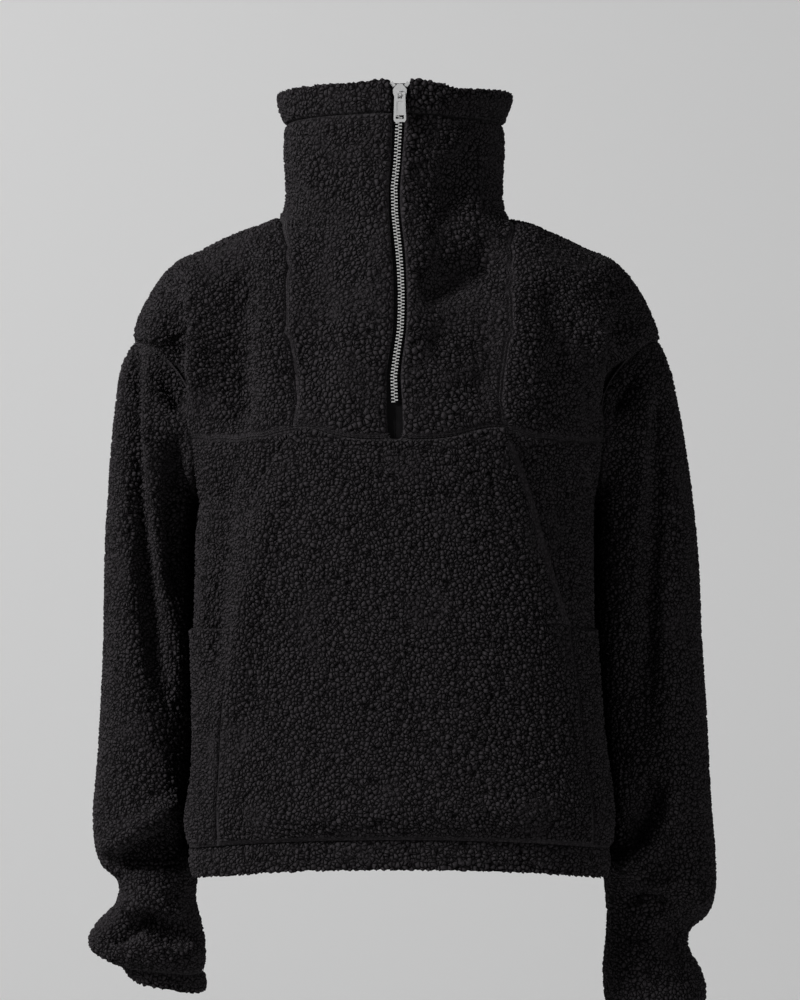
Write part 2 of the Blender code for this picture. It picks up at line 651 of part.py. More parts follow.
def split(cloth, face):
    """Cut a four-cornered face along its shorter diagonal, the same way in every layer."""
    if len(face) == 3:
        return [face]
    a, b, c, d = face
    p = cloth.points
    if (p[a] - p[c]).length <= (p[b] - p[d]).length:
        return [(a, b, c), (a, c, d)]
    return [(a, b, d), (b, c, d)]


def edge_ways(cloth, faces):
    """For each directed edge of a piece, the way that points from the edge into the piece."""
    ways = {}
    for face in faces:
        normal = face_normal(cloth, face)
        for a, b in zip(face, face[1:] + face[:1]):
            ways[(a, b)] = normal.cross(cloth.points[b] - cloth.points[a]).normalized()
    return {edge: way for edge, way in ways.items() if edge[::-1] not in ways}


def seam_shifts(cloth, groups):
    """For each piece and seam point, the small step that opens the gap at the seams."""
    rims = {name: edge_ways(cloth, faces) for name, faces in groups.items()}
    across = {edge: way for rim in rims.values() for edge, way in rim.items()}
    shifts = {}
    for name, rim in rims.items():
        pulls = {}
        for (a, b), way in rim.items():
            if (b, a) in across:
                apart = (way - across[(b, a)]).normalized()
                pulls.setdefault(a, []).append(apart)
                pulls.setdefault(b, []).append(apart)
        for i, ways in pulls.items():
            shift = ways[0]
            if len(ways) == 2:
                shift = (ways[0] + ways[1]) / max(1 + ways[0].dot(ways[1]), SHARPEST_CORNER)
            shifts[(name, i)] = shift * (GAP / 2)
    return shifts


def fleece_material():
    material = bpy.data.materials.new("fleece")
    material.use_nodes = True
    shader = material.node_tree.nodes["Principled BSDF"]
    shader.inputs["Base Color"].default_value = (0.022, 0.020, 0.022, 1)
    shader.inputs["Roughness"].default_value = 0.95
    return material


def tape_material():
    material = bpy.data.materials.new("zip_tape")
    material.use_nodes = True
    shader = material.node_tree.nodes["Principled BSDF"]
    shader.inputs["Base Color"].default_value = (0.012, 0.012, 0.014, 1)
    shader.inputs["Roughness"].default_value = 0.8
    return material


def metal_material():
    material = bpy.data.materials.new("zip_metal")
    material.use_nodes = True
    shader = material.node_tree.nodes["Principled BSDF"]
    shader.inputs["Base Color"].default_value = (0.72, 0.72, 0.70, 1)
    shader.inputs["Metallic"].default_value = 1.0
    shader.inputs["Roughness"].default_value = 0.25
    return material


def place(name, mesh, material, parent):
    piece = bpy.data.objects.new(name, mesh)
    bpy.context.scene.collection.objects.link(piece)
    mesh.materials.append(material)
    mesh.shade_smooth()
    mesh.set_sharp_from_angle(angle=radians(50))
    piece.parent = parent
    return piece


def wall(name, triangles, outer, inner, material, parent):
    """A closed wall: an outer skin, an inner skin and the strip round their edges."""
    mesh = bmesh.new()
    outside = {i: mesh.verts.new(co) for i, co in outer.items()}
    inside = {i: mesh.verts.new(co) for i, co in inner.items()}
    edges = {(t[i], t[(i + 1) % 3]) for t in triangles for i in range(3)}
    for a, b, c in triangles:
        mesh.faces.new((outside[a], outside[b], outside[c]))
        mesh.faces.new((inside[c], inside[b], inside[a]))
    for a, b in sorted(edges):
        if (b, a) in edges:
            continue
        if a < b:
            mesh.faces.new((outside[b], outside[a], inside[b]))
            mesh.faces.new((outside[a], inside[a], inside[b]))
        else:
            mesh.faces.new((outside[b], outside[a], inside[a]))
            mesh.faces.new((outside[b], inside[a], inside[b]))
    data = bpy.data.meshes.new(name)
    mesh.to_mesh(data)
    mesh.free()
    return place(name, data, material, parent)


def base_walls(cloth, front, normals, material, parent):
    """Every piece of the base surface as a wall whose inner face is one layer in."""
    shifts = seam_shifts(cloth, cloth.panels)
    zip_columns = (RIGHT_ZIP - 1, RIGHT_ZIP, LEFT_ZIP, LEFT_ZIP + 1)
    beside_zip = {row[column] for row in front[:BAND_ROWS + 1] for column in zip_columns}
    for name, faces in cloth.panels.items():
        banded = name.startswith(("collar_band", "hem", "cuff"))
        used = {i for face in faces for i in face}
        outer, inner = {}, {}
        for i in used:
            thick = BAND if banded and i not in beside_zip else FLEECE
            outer[i] = cloth.points[i] + shifts.get((name, i), Vector())
            inner[i] = outer[i] - normals[i] * thick
        triangles = [t for face in faces for t in split(cloth, face)]
        wall(name, triangles, outer, inner, material, parent)


def pocket_walls(cloth, front, normals, material, parent):
    """The pocket layer: made from the front's points, moved out over it."""
    pocket = Cloth()
    pocket.points = cloth.points
    cover(pocket, "pocket_panel", front, (YOKE_ROW, HEM_ROW), (RIGHT_EDGE, LEFT_EDGE))
    side_rows = (POCKET_SIDE_ROW, HEM_ROW)
    cover(pocket, "pocket_side_right", front, side_rows, (0, RIGHT_EDGE))
    cover(pocket, "pocket_side_left", front, side_rows, (LEFT_EDGE, FRONT_COLUMNS))
    sewn = set(front[YOKE_ROW]) | set(front[HEM_ROW])
    side_seams = {front[r][c] for r in range(*side_rows) for c in (0, FRONT_COLUMNS)}
    shifts = seam_shifts(pocket, pocket.panels)
    inset = {i: Vector((0, 0, GAP / 2)) for i in front[HEM_ROW]}
    inset.update({i: Vector((0, 0, -GAP / 2)) for i in front[YOKE_ROW]})
    for name, faces in pocket.panels.items():
        outer, inner = {}, {}
        for i in {i for face in faces for i in face}:
            rise = POCKET_RISE
            if i in sewn:
                rise = POCKET_SEAM_RISE
            if i in side_seams:
                rise = SIDE_SEAM_RISE
            start = pocket.points[i] + shifts.get((name, i), Vector()) + inset.get(i, Vector())
            outer[i] = start + normals[i] * rise
            inner[i] = start + normals[i] * GAP
        triangles = [t for face in faces for t in split(pocket, face)]
        wall(name, triangles, outer, inner, material, parent)


def zip_line(cloth, front):
    """The middle of the slit on the fleece's front surface, one point for each row."""
    rows = front[:YOKE_ROW + 1]
    return [(cloth.points[row[RIGHT_ZIP]] + cloth.points[row[LEFT_ZIP]]) / 2 for row in rows]


def zip_tapes(cloth, front, normals, material, parent):
    """Two tapes behind the slit, made from the front's points beside it, moved in."""
    middles = zip_line(cloth, front)
    for name, column, side in (("zip_tape_right", RIGHT_ZIP, -1), ("zip_tape_left", LEFT_ZIP, 1)):
        strip = Cloth()
        lines, ways = [], []
        for row, middle in zip(front, middles):
            edge, beside = row[column], row[column + side]
            run = cloth.points[beside] - cloth.points[edge]
            share = TAPE_UNDER / run.length
            under = cloth.points[edge] + run * share
            inner_edge = middle + Vector((side * GAP / 2, 0, 0))
            line = [strip.add(*p) for p in (under, cloth.points[edge], inner_edge)]
            lines.append(line if side < 0 else line[::-1])
            ways += [normals[edge].lerp(normals[beside], share), normals[edge], normals[edge]]
        cover(strip, name, lines, (0, len(lines) - 1), (0, 2))
        outer = {i: p - ways[i] * TAPE_DEPTH for i, p in enumerate(strip.points)}
        inner = {i: p - ways[i] * TAPE_THICK for i, p in outer.items()}
        for i in lines[0]:
            outer[i].z -= 2 * GAP
            inner[i].z -= 2 * GAP
        triangles = [t for face in strip.panels[name] for t in split(strip, face)]
        wall(name, triangles, outer, inner, material, parent)


def zip_chain(cloth, front, material, parent):
    """The closed chain as one flat bar along the middle of the slit."""
    middles = zip_line(cloth, front)
    ends = (CHAIN_TOP, CHAIN_BOTTOM)
    points = [p for p in middles if ends[1] < p.z < ends[0]]
    for z in ends:
        upper = next(p for p, q in zip(middles, middles[1:]) if q.z < z)
        lower = middles[middles.index(upper) + 1]
        points.append(upper.lerp(lower, (upper.z - z) / (upper.z - lower.z)))
    points.sort(key=lambda p: -p.z)
    strip = Cloth()
    half = CHAIN_WIDTH / 2
    lines = [[strip.add(p.x + side * half, p.y, p.z) for side in (-1, 1)] for p in points]
    cover(strip, "zip_chain", lines, (0, len(lines) - 1), (0, 1))
    outer = {i: p + Vector((0, CHAIN_FACE, 0)) for i, p in enumerate(strip.points)}
    inner = {i: p + Vector((0, CHAIN_BACK, 0)) for i, p in enumerate(strip.points)}
    triangles = [t for face in strip.panels["zip_chain"] for t in split(strip, face)]
    wall("zip_chain", triangles, outer, inner, material, parent)


def prism(name, outline, thick, turn=None):
    """A flat outline in x and z made a block centred on its own plane, thickness along y."""
    mesh = bmesh.new()
    front = [mesh.verts.new((x, -thick / 2, z)) for x, z in outline]
    face = mesh.faces.new(front)
    raised = bmesh.ops.extrude_face_region(mesh, geom=[face])
    moved = [g for g in raised["geom"] if isinstance(g, bmesh.types.BMVert)]
    bmesh.ops.translate(mesh, verts=moved, vec=(0, thick, 0))
    bmesh.ops.recalc_face_normals(mesh, faces=mesh.faces)
    if turn:
        bmesh.ops.transform(mesh, matrix=turn, verts=mesh.verts)
    data = bpy.data.meshes.new(name)
    mesh.to_mesh(data)
    mesh.free()
    return data


def combine(piece, tool_mesh, location, operation):
    """Join a shape to a piece, or cut it out of the piece."""
    tool = bpy.data.objects.new(f"{piece.name}_{operation.lower()}_{len(piece.modifiers)}", tool_mesh)
    bpy.context.scene.collection.objects.link(tool)
    tool.location = location
    tool.hide_render = True
    tool.display_type = "WIRE"
    modifier = piece.modifiers.new(operation.title(), "BOOLEAN")
    modifier.operation = operation
    modifier.object = tool


def oblong(width, height):
    return [(-width / 2, -height / 2), (width / 2, -height / 2),
            (width / 2, height / 2), (-width / 2, height / 2)]


def bail_outline():
    """The bail's side view: a low arch of four bends that the pull's pin sits in."""
    reach = BAIL_CLEAR + BAIL_THICK
    foot = -BAIL_CLEAR - BAIL_SINK
    bend, knee = reach * BAIL_BEND, BAIL_CLEAR * BAIL_BEND
    outside = [(reach, foot), (reach, knee), (bend, reach),
               (-bend, reach), (-reach, knee), (-reach, foot)]
    inside = [(-BAIL_CLEAR, foot), (-BAIL_CLEAR, knee), (-knee, BAIL_CLEAR),
              (knee, BAIL_CLEAR), (BAIL_CLEAR, knee), (BAIL_CLEAR, foot)]
    return outside + inside


def zip_slider(material, parent):
    """The slider's shield-shaped body with the bail standing on its face."""
    face_y = COLLAR_FACE - SLIDER_PROUD
    back_y = COLLAR_FACE + TAPE_DEPTH - SLIDER_BACK_CLEAR
    middle_z = (SLIDER_TOP + SLIDER_BOTTOM) / 2
    half_high = (SLIDER_TOP - SLIDER_BOTTOM) / 2
    wide, narrow = SLIDER_WIDE / 2, SLIDER_NARROW / 2
    crown = narrow / 2
    outline = [(-narrow, -half_high), (narrow, -half_high), (wide, -half_high / 3),
               (wide, half_high / 5), (crown, half_high), (-crown, half_high),
               (-wide, half_high / 5), (-wide, -half_high / 3)]
    mesh = prism("zip_slider", outline, back_y - face_y)
    piece = place("zip_slider", mesh, material, parent)
    piece.location = (SLIDER_X, (face_y + back_y) / 2, middle_z)
    stand_up = Matrix.Rotation(radians(90), 4, "Z") @ Matrix.Rotation(radians(90), 4, "Y")
    bail = prism("bail", bail_outline(), BAIL_WIDE, stand_up)
    combine(piece, bail, (SLIDER_X, COLLAR_FACE - PIVOT_OUT, PIVOT_Z), "UNION")
    return piece


def zip_pull(material, parent):
    """The pull tab, hanging from its pin, with its eye, a recess and a slot."""
    hinge = bpy.data.objects.new("pull_hinge", None)
    bpy.context.scene.collection.objects.link(hinge)
    hinge.parent = parent
    hinge.location = (SLIDER_X, COLLAR_FACE - PIVOT_OUT, PIVOT_Z)
    top, drop = PIN / 2, PULL_BOTTOM - PIVOT_Z
    wide, narrow = PULL_BOTTOM_WIDE / 2, PULL_TOP_WIDE / 2
    corner = wide * PULL_CORNER_SHARE
    outline = [(-narrow, top), (-wide, drop + PULL_CORNER), (-corner, drop),
               (corner, drop), (wide, drop + PULL_CORNER), (narrow, top)]
    mesh = prism("zip_pull", outline, PIN)
    piece = place("zip_pull", mesh, material, hinge)
    eye_wide = BAIL_WIDE + 4 * PULL_BODY_CLEAR
    eye_high = 2 * (BAIL_THICK + BAIL_CLEAR) - PIN / 2
    eye = prism("eye", oblong(eye_wide, eye_high), 3 * PIN)
    slot = prism("slot", oblong(*PULL_SLOT), 3 * PIN)
    recess = prism("recess", oblong(*PULL_RECESS), PIN)
    at = Vector(hinge.location)
    combine(piece, eye, at + Vector((0, 0, -PIN / 2 - eye_high / 2)), "DIFFERENCE")
    combine(piece, slot, at + Vector((0, 0, drop + PULL_SLOT_UP)), "DIFFERENCE")
    recess_at = at + Vector((0, -PULL_RECESS_OUT * PIN, drop + PULL_RECESS_UP))
    combine(piece, recess, recess_at, "DIFFERENCE")
    return piece


def zip_stops(material, parent):
    """The two small stops at the chain's top, spread by the slider."""
    for name, side in (("zip_stop_right", -1), ("zip_stop_left", 1)):
        wide, thick, high = STOP_SIZE
        turn = Matrix.Rotation(radians(STOP_TURN * side), 4, "Y")
        mesh = prism(name, oblong(wide, high), thick, turn)
        piece = place(name, mesh, material, parent)
        across, z = STOP_PLACE
        depth = (CHAIN_BACK + CHAIN_FACE) / 2
        piece.location = (SLIDER_X + side * across, COLLAR_FACE + depth, z)


def main():
    for old in list(bpy.data.objects):
        bpy.data.objects.remove(old)
    garment = bpy.data.objects.new("garment", None)
    bpy.context.scene.collection.objects.link(garment)
    cloth, front = lay_garment()
    normals = surface_normals(cloth, front)
    fleece, tape, metal = fleece_material(), tape_material(), metal_material()
    base_walls(cloth, front, normals, fleece, garment)
    pocket_walls(cloth, front, normals, fleece, garment)
    zip_tapes(cloth, front, normals, tape, garment)
    zip_chain(cloth, front, metal, garment)
    zip_stops(metal, garment)
    zip_slider(metal, garment)
    zip_pull(metal, garment)


main()
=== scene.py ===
"""Looks of a half-zip sherpa fleece pullover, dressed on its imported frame.

Lengths are metres in the frame's axes: -Y is the front and +Z is up. Left and right are
the wearer's, so the left sleeve is at +X.
"""
from math import radians

import bmesh
import bpy
import numpy as np
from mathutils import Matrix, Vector, noise
from mathutils.bvhtree import BVHTree
from mathutils.kdtree import KDTree


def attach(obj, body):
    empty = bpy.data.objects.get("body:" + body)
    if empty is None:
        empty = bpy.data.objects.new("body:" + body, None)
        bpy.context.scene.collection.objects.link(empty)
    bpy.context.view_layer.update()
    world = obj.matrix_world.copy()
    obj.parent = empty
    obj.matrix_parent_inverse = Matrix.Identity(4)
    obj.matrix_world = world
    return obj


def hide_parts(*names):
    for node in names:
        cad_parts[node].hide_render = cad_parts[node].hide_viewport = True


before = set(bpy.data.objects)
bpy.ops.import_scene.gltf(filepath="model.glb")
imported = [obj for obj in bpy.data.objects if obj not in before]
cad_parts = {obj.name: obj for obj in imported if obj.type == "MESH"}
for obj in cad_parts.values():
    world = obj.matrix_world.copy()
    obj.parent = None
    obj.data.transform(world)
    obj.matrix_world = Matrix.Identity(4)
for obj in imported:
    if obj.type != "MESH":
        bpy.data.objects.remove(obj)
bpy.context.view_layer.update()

# Pieces of the garment's base layer, and of the pocket laid over it
BASE_PIECES = [
    "collar_band_right", "collar_band_left", "collar_band_back", "collar_back",
    "front_right", "front_left", "yoke_right", "yoke_left", "front_body", "hem_front",
    "hem_back", "back_panel", "sleeve_right", "sleeve_left", "cuff_right", "cuff_left",
]
POCKET_PIECES = ["pocket_panel", "pocket_side_right", "pocket_side_left"]

# Shells of the cloth
LAYER = 0.0046            # thickness of the shell of one layer
BAND_LAYER = 0.0060
LAYER_CLEAR = 0.0005      # the pocket's shell stays this far off the layer under it
LOOK_UNDER = LAYER * 3    # how deep under the pocket that layer is looked for
WELD = 0.00002
SEAM_WELD = 0.0006        # wider than the gap between neighbouring pieces
RIM_ANGLE = radians(50)
QUAD_ANGLES = {"face_threshold": radians(70), "shape_threshold": radians(80)}
BODY_AXIS = (0.0, -0.015)
SLEEVE_AXIS = (0.212, 0.010)
SMOOTH_LEVELS = 2
OUTER, INNER, RIM = range(3)  # material indices of the sides of a shell
MOST_CORNERS = 4          # a face with more corners than this is cut into triangles
FINE_EDGE = 0.0024        # outer faces are split until their edges are shorter than this
BACK_EDGE = 0.0033        # and than this on the big panel behind
COVERED_EDGE = 0.0080     # and than this where the pocket covers them
POCKET_COVER = ((-0.085, -0.500), (0.095, -0.200))  # low and high corner, in x and z
ROLLED_BANDS = ("collar_band", "hem", "cuff")
SLIT_OPEN = 0.0016        # the fleece draws back this far on each side of the zip
SLIT_REACH = 0.012
SLIT_BELOW = 4            # that gap has closed this many reaches below the chain

# Pile
NUB_PITCH = 0.0034        # spacing of the pile's curls on smooth cloth
BIG_NUB_PITCH = 0.0039    # and along folds and edges
NUB_HEIGHT = 0.0023
CURL_WARP = 0.9           # how far a slow noise bends the curls, in curls
WARP_SCALE = 0.55
WARP_DETAIL = 1.0
CREVICE_WIDTH = 0.21      # share of a curl's size taken by the slope into the crevice round it
CROWN_SHARE = 1.5         # how much of its height a curl loses towards its rim
COARSE = 0.25             # how far the curls go from the small size to the big one
PLACKET_COARSE = 0.55
DRIFT = 0.5               # and how much that drifts from place to place
DRIFT_SCALE = 22
HALFWAY = 0.5
SIZE_STEP = 4             # how abruptly one size of curl gives way to the other
PRESSED = 0.45            # share of the curls' height by which bare cloth lies lower

# Seams and topstitching
BY_ZIP = 0.020            # free edges nearer the middle than this follow the zip
FACING_TOP = -0.188       # the pocket's faced edges run between these heights
FACING_BOTTOM = -0.49
SEAM_STEP = 0.0008
SEAM_REACH = 0.012        # further from a seam than this, the cloth is plain pile
STITCH_STEP = 0.0034
STITCH_LONG = 0.0027
STITCH_WIDE = 0.0006
STITCH_SUNK = 0.0007      # below the plain surface, where pressed cloth lies
SHORT_PATH = 4            # a run of fewer edges than this isn't sewn

# How cloth looks by each kind of seam: the pieces that carry its pressed band, how wide the
# band is, over what width the pile is back at its full height, how deep the seam sits, and
# how much coarser the curls are beside it
SEAM_LOOKS = {
    "edge": ("none", 0.0, 0.0008, 0.0, 1.4),
    "zip": ("none", 0.0, 0.0020, 0.0010, 1.0),
    "facing": ("pocket_panel", 0.0055, 0.0016, 0.0, 0.3),
    "band": ("none", 0.0, 0.0022, 0.0024, 0.8),
    "gather": (("front_body", "back_panel", "sleeve"), 0.0028, 0.0018, 0.0012, 1.0),
    "hemline": ("pocket_panel", 0.0030, 0.0018, 0.0012, 0.6),
    "armhole": (("yoke", "back_panel", "front_body"), 0.0030, 0.0018, 0.0006, 0.7),
    "yoke": (("yoke", "front_right", "front_left"), 0.0036, 0.0018, 0.0010, 0.5),
    "princess": (("front_right", "front_left"), 0.0030, 0.0018, 0.0006, 0.4),
    "plain": ("none", 0.0, 0.0018, 0.0010, 0.3),
}
PLAIN_BAND = 0.0005

# Fleece: colours, with painted shade in the crevices between the curls, and a fine noise over them
# that stands for single fibres
KNIT = (0.008, 0.0072, 0.008)
# painted shade laid into the crevices round the curls
CREVICE_SHADE = (0.0006, 0.0005, 0.0006)
CURL = (0.030, 0.0270, 0.0295)
BARE_TONE = 0.45          # tone of pressed cloth between the painted crevice shade and the curls' colour
FLEECE_ROUGHNESS = 0.92
FLEECE_SHINE = 0.03
SHEEN = 0.03
SHEEN_ROUGHNESS = 0.5
SHEEN_TINT = (0.9, 0.87, 0.9, 1)
FUZZ_SCALE = 1700
FUZZ_DETAIL = 2.0
FUZZ_DARKEST = 0.6
FUZZ_LIGHTEST = 1.4
FUZZ_HEIGHT = 0.00022

# Zip
TOOTH_PITCH = 0.0027      # from one tooth to the next on the same tape
TOOTH_SIZE = (0.0031, 0.0016, 0.0012)
TOOTH_OUT = 0.00115       # from the middle of the chain to the middle of a tooth
TOOTH_TIP = 0.72          # height of a tooth's inner end, as a share of its outer end's
TOOTH_ROUNDING = 0.0002
ROW_PLACES = 4            # decimals to which the heights of the chain's rows are told apart

# Studio and camera
PALE_GLOW = 0.27
FLOOR_SIZE = 12
FLOOR_HEIGHT = -1.25
BACKDROP_SIZE = 16
BACKDROP_BEHIND = 3.6
LIGHTS = [                # name, size, watts, place and the place it points at
    ("key", 0.7, 148, (-2.6, -1.7, 1.5), (0, 0, -0.2)),
    ("fill", 1.4, 16, (1.7, -2.2, -0.45), (0.1, 0, -0.5)),
    ("back", 1.6, 40, (-2.4, 2.4, 1.8), (0, 0, -0.2)),
]
AIR_COLOUR = (0.9, 0.92, 0.95, 1)
AIR_STRENGTH = 0.05
UPRIGHT = (radians(90), 0, 0)
LENS = 127.06             # millimetres, as is the sensor's height
SENSOR_HEIGHT = 36
CAMERA_PLACE = (0.00255, -3.0, -0.236)

# Main creases: the side they show on, their depth (a trough is below zero) and half width,
# and the places they run through. Lengths in this table are millimetres.
FOLDS = [
    # Right yoke: a soft trough, the lit ridge beside it and the shadow next to the sleeve
    ("front", -20.0, 16, [(-129, -20), (-135, -110), (-136, -200)]),
    ("front", 11.0, 7, [(-166, -34), (-166, -110), (-168, -190)]),
    ("front", -16.0, 10, [(-184, -74), (-186, -118), (-181, -170)]),
    # Left yoke
    ("front", -17.0, 11, [(188, -74), (186, -120), (179, -172)]),
    ("front", 7.4, 7, [(167, -68), (168, -120), (164, -170)]),
    ("front", -7.0, 13, [(122, -50), (136, -104), (130, -152)]),
    # Rounded shoulder points, and the shoulder's rise to the neck
    ("right_shoulder", 4.0, 22, [(-232, -106), (-204, -56), (-166, -24)]),
    ("left_shoulder", 4.6, 22, [(162, -20), (207, -60), (234, -110)]),
    ("top", 3.2, 10, [(-116, -4), (-94, 8), (-74, 22), (-56, 34)]),
    ("top", 2.6, 10, [(128, -16), (96, -8), (80, 6), (60, 22)]),
    # The placket stands up along the zip between two soft hollows
    ("front", -4.0, 17, [(-42, 60), (-40, -20), (-44, -130)]),
    ("front", -11.0, 24, [(-74, 0), (-72, -70), (-72, -170)]),
    ("front", -7.0, 18, [(42, 60), (42, -20), (46, -136)]),
    ("front", -12.0, 24, [(76, 0), (74, -70), (74, -170)]),
    # From the base of the neck
    ("front", -9.0, 11, [(16, -70), (52, -52), (86, -30)]),
    ("front", -3.0, 8, [(-88, -24), (-62, -60), (-54, -100)]),
    ("front", 2.8, 10, [(-44, -60), (-40, -108), (-46, -144)]),
    ("front", -3.0, 8, [(24, -96), (40, -118), (62, -128)]),
    # Collar
    ("front", -3.2, 8, [(-60, 64), (-62, 30), (-54, -8)]),
    ("front", -3.4, 9, [(56, 66), (60, 34), (54, 0)]),
    ("front", 2.2, 8, [(-30, 62), (-28, 20), (-32, -14)]),
    ("front", 2.0, 7, [(30, 60), (33, 24), (30, -6)]),
    ("back", -2.6, 9, [(-38, 70), (-30, 40), (-34, 12)]),
    ("back", -2.2, 8, [(44, 66), (40, 36), (46, 8)]),
    # The collar's top edge arches up to the zip
    ("front_top", 2.4, 16, [(-30, 104), (-4, 106), (36, 106)]),
    ("front_top", -6.6, 20, [(34, 100), (68, 100), (112, 90)]),
    # A soft ridge down the pocket's right edge, and the hollow beside it
    ("front", 5.6, 10, [(-96, -210), (-110, -265), (-124, -333), (-138, -450)]),
    ("front", -9.0, 11, [(-140, -190), (-148, -285), (-154, -400)]),
    # The cloth bags out over the hem
    ("front", 5.0, 15, [(-165, -489), (-80, -492), (20, -490), (160, -494)]),
    ("back", 4.4, 16, [(-165, -488), (-70, -484), (40, -486), (165, -490)]),
    # Right sleeve: the crease down the upper arm
    ("front", -13.0, 8, [(-221, -70), (-221, -187), (-217, -223), (-209, -297), (-199, -380),
                        (-190, -417)]),
    ("front", 6.0, 6, [(-210, -76), (-211, -187), (-208, -223), (-199, -297), (-190, -376)]),
    ("front", -14.0, 9, [(-184, -170), (-186, -240), (-182, -330)]),
    # Left sleeve
    ("front", -10.0, 8, [(224, -114), (220, -171), (217, -256), (213, -295), (209, -363),
                        (207, -441)]),
    ("front", 5.0, 7, [(211, -114), (207, -171), (205, -216), (200, -256), (197, -292)]),
    # Right forearm and wrist
    ("front", 11.0, 8, [(-176, -482), (-214, -508), (-254, -532)]),
    ("front", -16.0, 9, [(-246, -546), (-206, -529), (-166, -512)]),
    ("front", 3.0, 7, [(-232, -552), (-205, -548), (-176, -548)]),
    ("front", -17.0, 7, [(-256, -604), (-210, -588), (-164, -610)]),
    ("front", 8.0, 9, [(-238, -584), (-206, -570), (-174, -586)]),
    ("front", -5.0, 7, [(-196, -566), (-178, -572), (-168, -582)]),
    ("right_outside", -5.0, 9, [(-274, -559), (-245, -559), (-214, -559)]),
    # Left forearm and wrist
    ("front", -11.0, 12, [(214, -462), (205, -500), (190, -526)]),
    ("front", 9.0, 9, [(238, -470), (225, -504), (213, -524), (190, -545), (176, -560)]),
    ("front", 7.0, 8, [(204, -555), (236, -561), (270, -574)]),
    ("front", -11.0, 8, [(182, -572), (204, -568), (230, -574)]),
    ("front", -7.0, 10, [(252, -578), (228, -598), (250, -618)]),
    ("front", 4.0, 9, [(196, -600), (204, -622), (222, -636)]),
    ("left_outside", -8.0, 13, [(214, -603), (246, -603), (276, -603)]),
    # Sleeves from behind: the bends of the elbows and the bunched wrists
    ("back", -6.0, 8, [(-246, -262), (-222, -276), (-190, -270)]),
    ("back", -4.6, 7, [(-248, -306), (-220, -312), (-196, -300)]),
    ("back", -6.0, 8, [(-184, -528), (-214, -534), (-250, -524)]),
    ("back", -5.2, 8, [(250, -288), (222, -300), (192, -292)]),
    ("back", -4.6, 7, [(246, -330), (224, -342), (200, -334)]),
    ("back", -6.4, 9, [(188, -552), (220, -560), (262, -548)]),
    ("back", -4.6, 8, [(190, -500), (216, -490), (244, -498)]),
    # The sleeves' inner sides rest against the trunk
    ("right_inside", 3.2, 30, [(-168, -150), (-170, -250), (-168, -400)]),
    ("left_inside", 3.2, 30, [(168, -150), (170, -250), (168, -400)]),
    # Back panel
    ("back", -5.0, 13, [(-150, -130), (-118, -200), (-96, -262)]),
    ("back", -4.4, 13, [(146, -126), (118, -190), (102, -250)]),
    ("back", -4.0, 14, [(-60, -340), (-30, -400), (-44, -450)]),
    ("back", 4.0, 14, [(40, -300), (62, -372), (54, -440)]),
]
SIDES = {
    "front": np.array((0, -1, 0)), "back": np.array((0, 1, 0)),
    "right_inside": np.array((1, 0, 0)), "left_inside": np.array((-1, 0, 0)),
    "right_outside": np.array((-1, 0, 0)), "left_outside": np.array((1, 0, 0)),
    "right_shoulder": np.array((-0.7, 0, 0.7)), "left_shoulder": np.array((0.7, 0, 0.7)),
    "top": np.array((0, 0, 1)), "front_top": np.array((0, -0.5, 0.87)),
}
UPWARDS = np.array((0, 0, 1))
MM = 1000                 # millimetres in a metre
FACING_GAIN = 1.6
SLEEVE_INSIDE = 0.160     # the sleeves lie further out than this
FOLD_TAPER = 0.22         # share of a fold's length over which either end dies away


def activate(piece):
    """Make one object the only selected one, as every operator below needs."""
    bpy.ops.object.select_all(action="DESELECT")
    piece.select_set(True)
    bpy.context.view_layer.objects.active = piece


def apply_all(piece):
    activate(piece)
    for modifier in list(piece.modifiers):
        bpy.ops.object.modifier_apply(modifier=modifier.name)


def into_scene(label, data):
    """An object of a mesh, a light or a camera, linked into the scene."""
    thing = bpy.data.objects.new(label, data)
    bpy.context.scene.collection.objects.link(thing)
    return thing


def object_of(label, mesh):
    """An object of a bmesh, which is freed."""
    data = bpy.data.meshes.new(label)
    mesh.to_mesh(data)
    mesh.free()
    return into_scene(label, data)


def surface_of(skin):
    """A tree that finds places on a skin."""
    return BVHTree.FromPolygons([v.co.copy() for v in skin.data.vertices],
                                [list(p.vertices) for p in skin.data.polygons])


def rows_of(values, key):
    """One vector for each value, such as every vertex's place, as the rows of an array."""
    flat = np.empty(len(values) * 3)
    values.foreach_get(key, flat)
    return flat.reshape(-1, 3)


def move_points(mesh, places):
    mesh.vertices.foreach_set("co", places.ravel())
    mesh.update()


def store(mesh, name, kind, values):
    attribute = mesh.attributes.new(name, kind, "POINT")
    key = "vector" if kind == "FLOAT_VECTOR" else "value"
    attribute.data.foreach_set(key, np.asarray(values, dtype=np.float32).ravel())


def away(place, name):
    """The level direction from the middle of the body, or of the sleeve, to a place."""
    x, y = BODY_AXIS
    if name.startswith(("sleeve", "cuff")):
        x, y = SLEEVE_AXIS
        x = -x if name.endswith("right") else x
    return Vector((place.x - x, place.y - y, 0)).normalized()


def outer_skin(name):
    """The faces on a wall's outward side, each as a list of its corners' places."""
    mesh = bmesh.new()
    mesh.from_mesh(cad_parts[name].data)
    bmesh.ops.remove_doubles(mesh, verts=mesh.verts, dist=WELD)
    best, best_share = [], 0.0
    left = set(mesh.faces)
    for first in mesh.faces:
        if first not in left:
            continue
        left.discard(first)
        skin = [first]
        for face in skin:
            for edge in face.edges:
                if len(edge.link_faces) != 2 or edge.calc_face_angle() > RIM_ANGLE:
                    continue
                for other in edge.link_faces:
                    if other in left:
                        left.discard(other)
                        skin.append(other)
        share = sum(f.calc_area() * f.normal.dot(away(f.calc_center_median(), name)) for f in skin)
        if share > best_share:
            best, best_share = skin, share
    corners = [[v.co.copy() for v in face.verts] for face in best]
    mesh.free()
    return corners


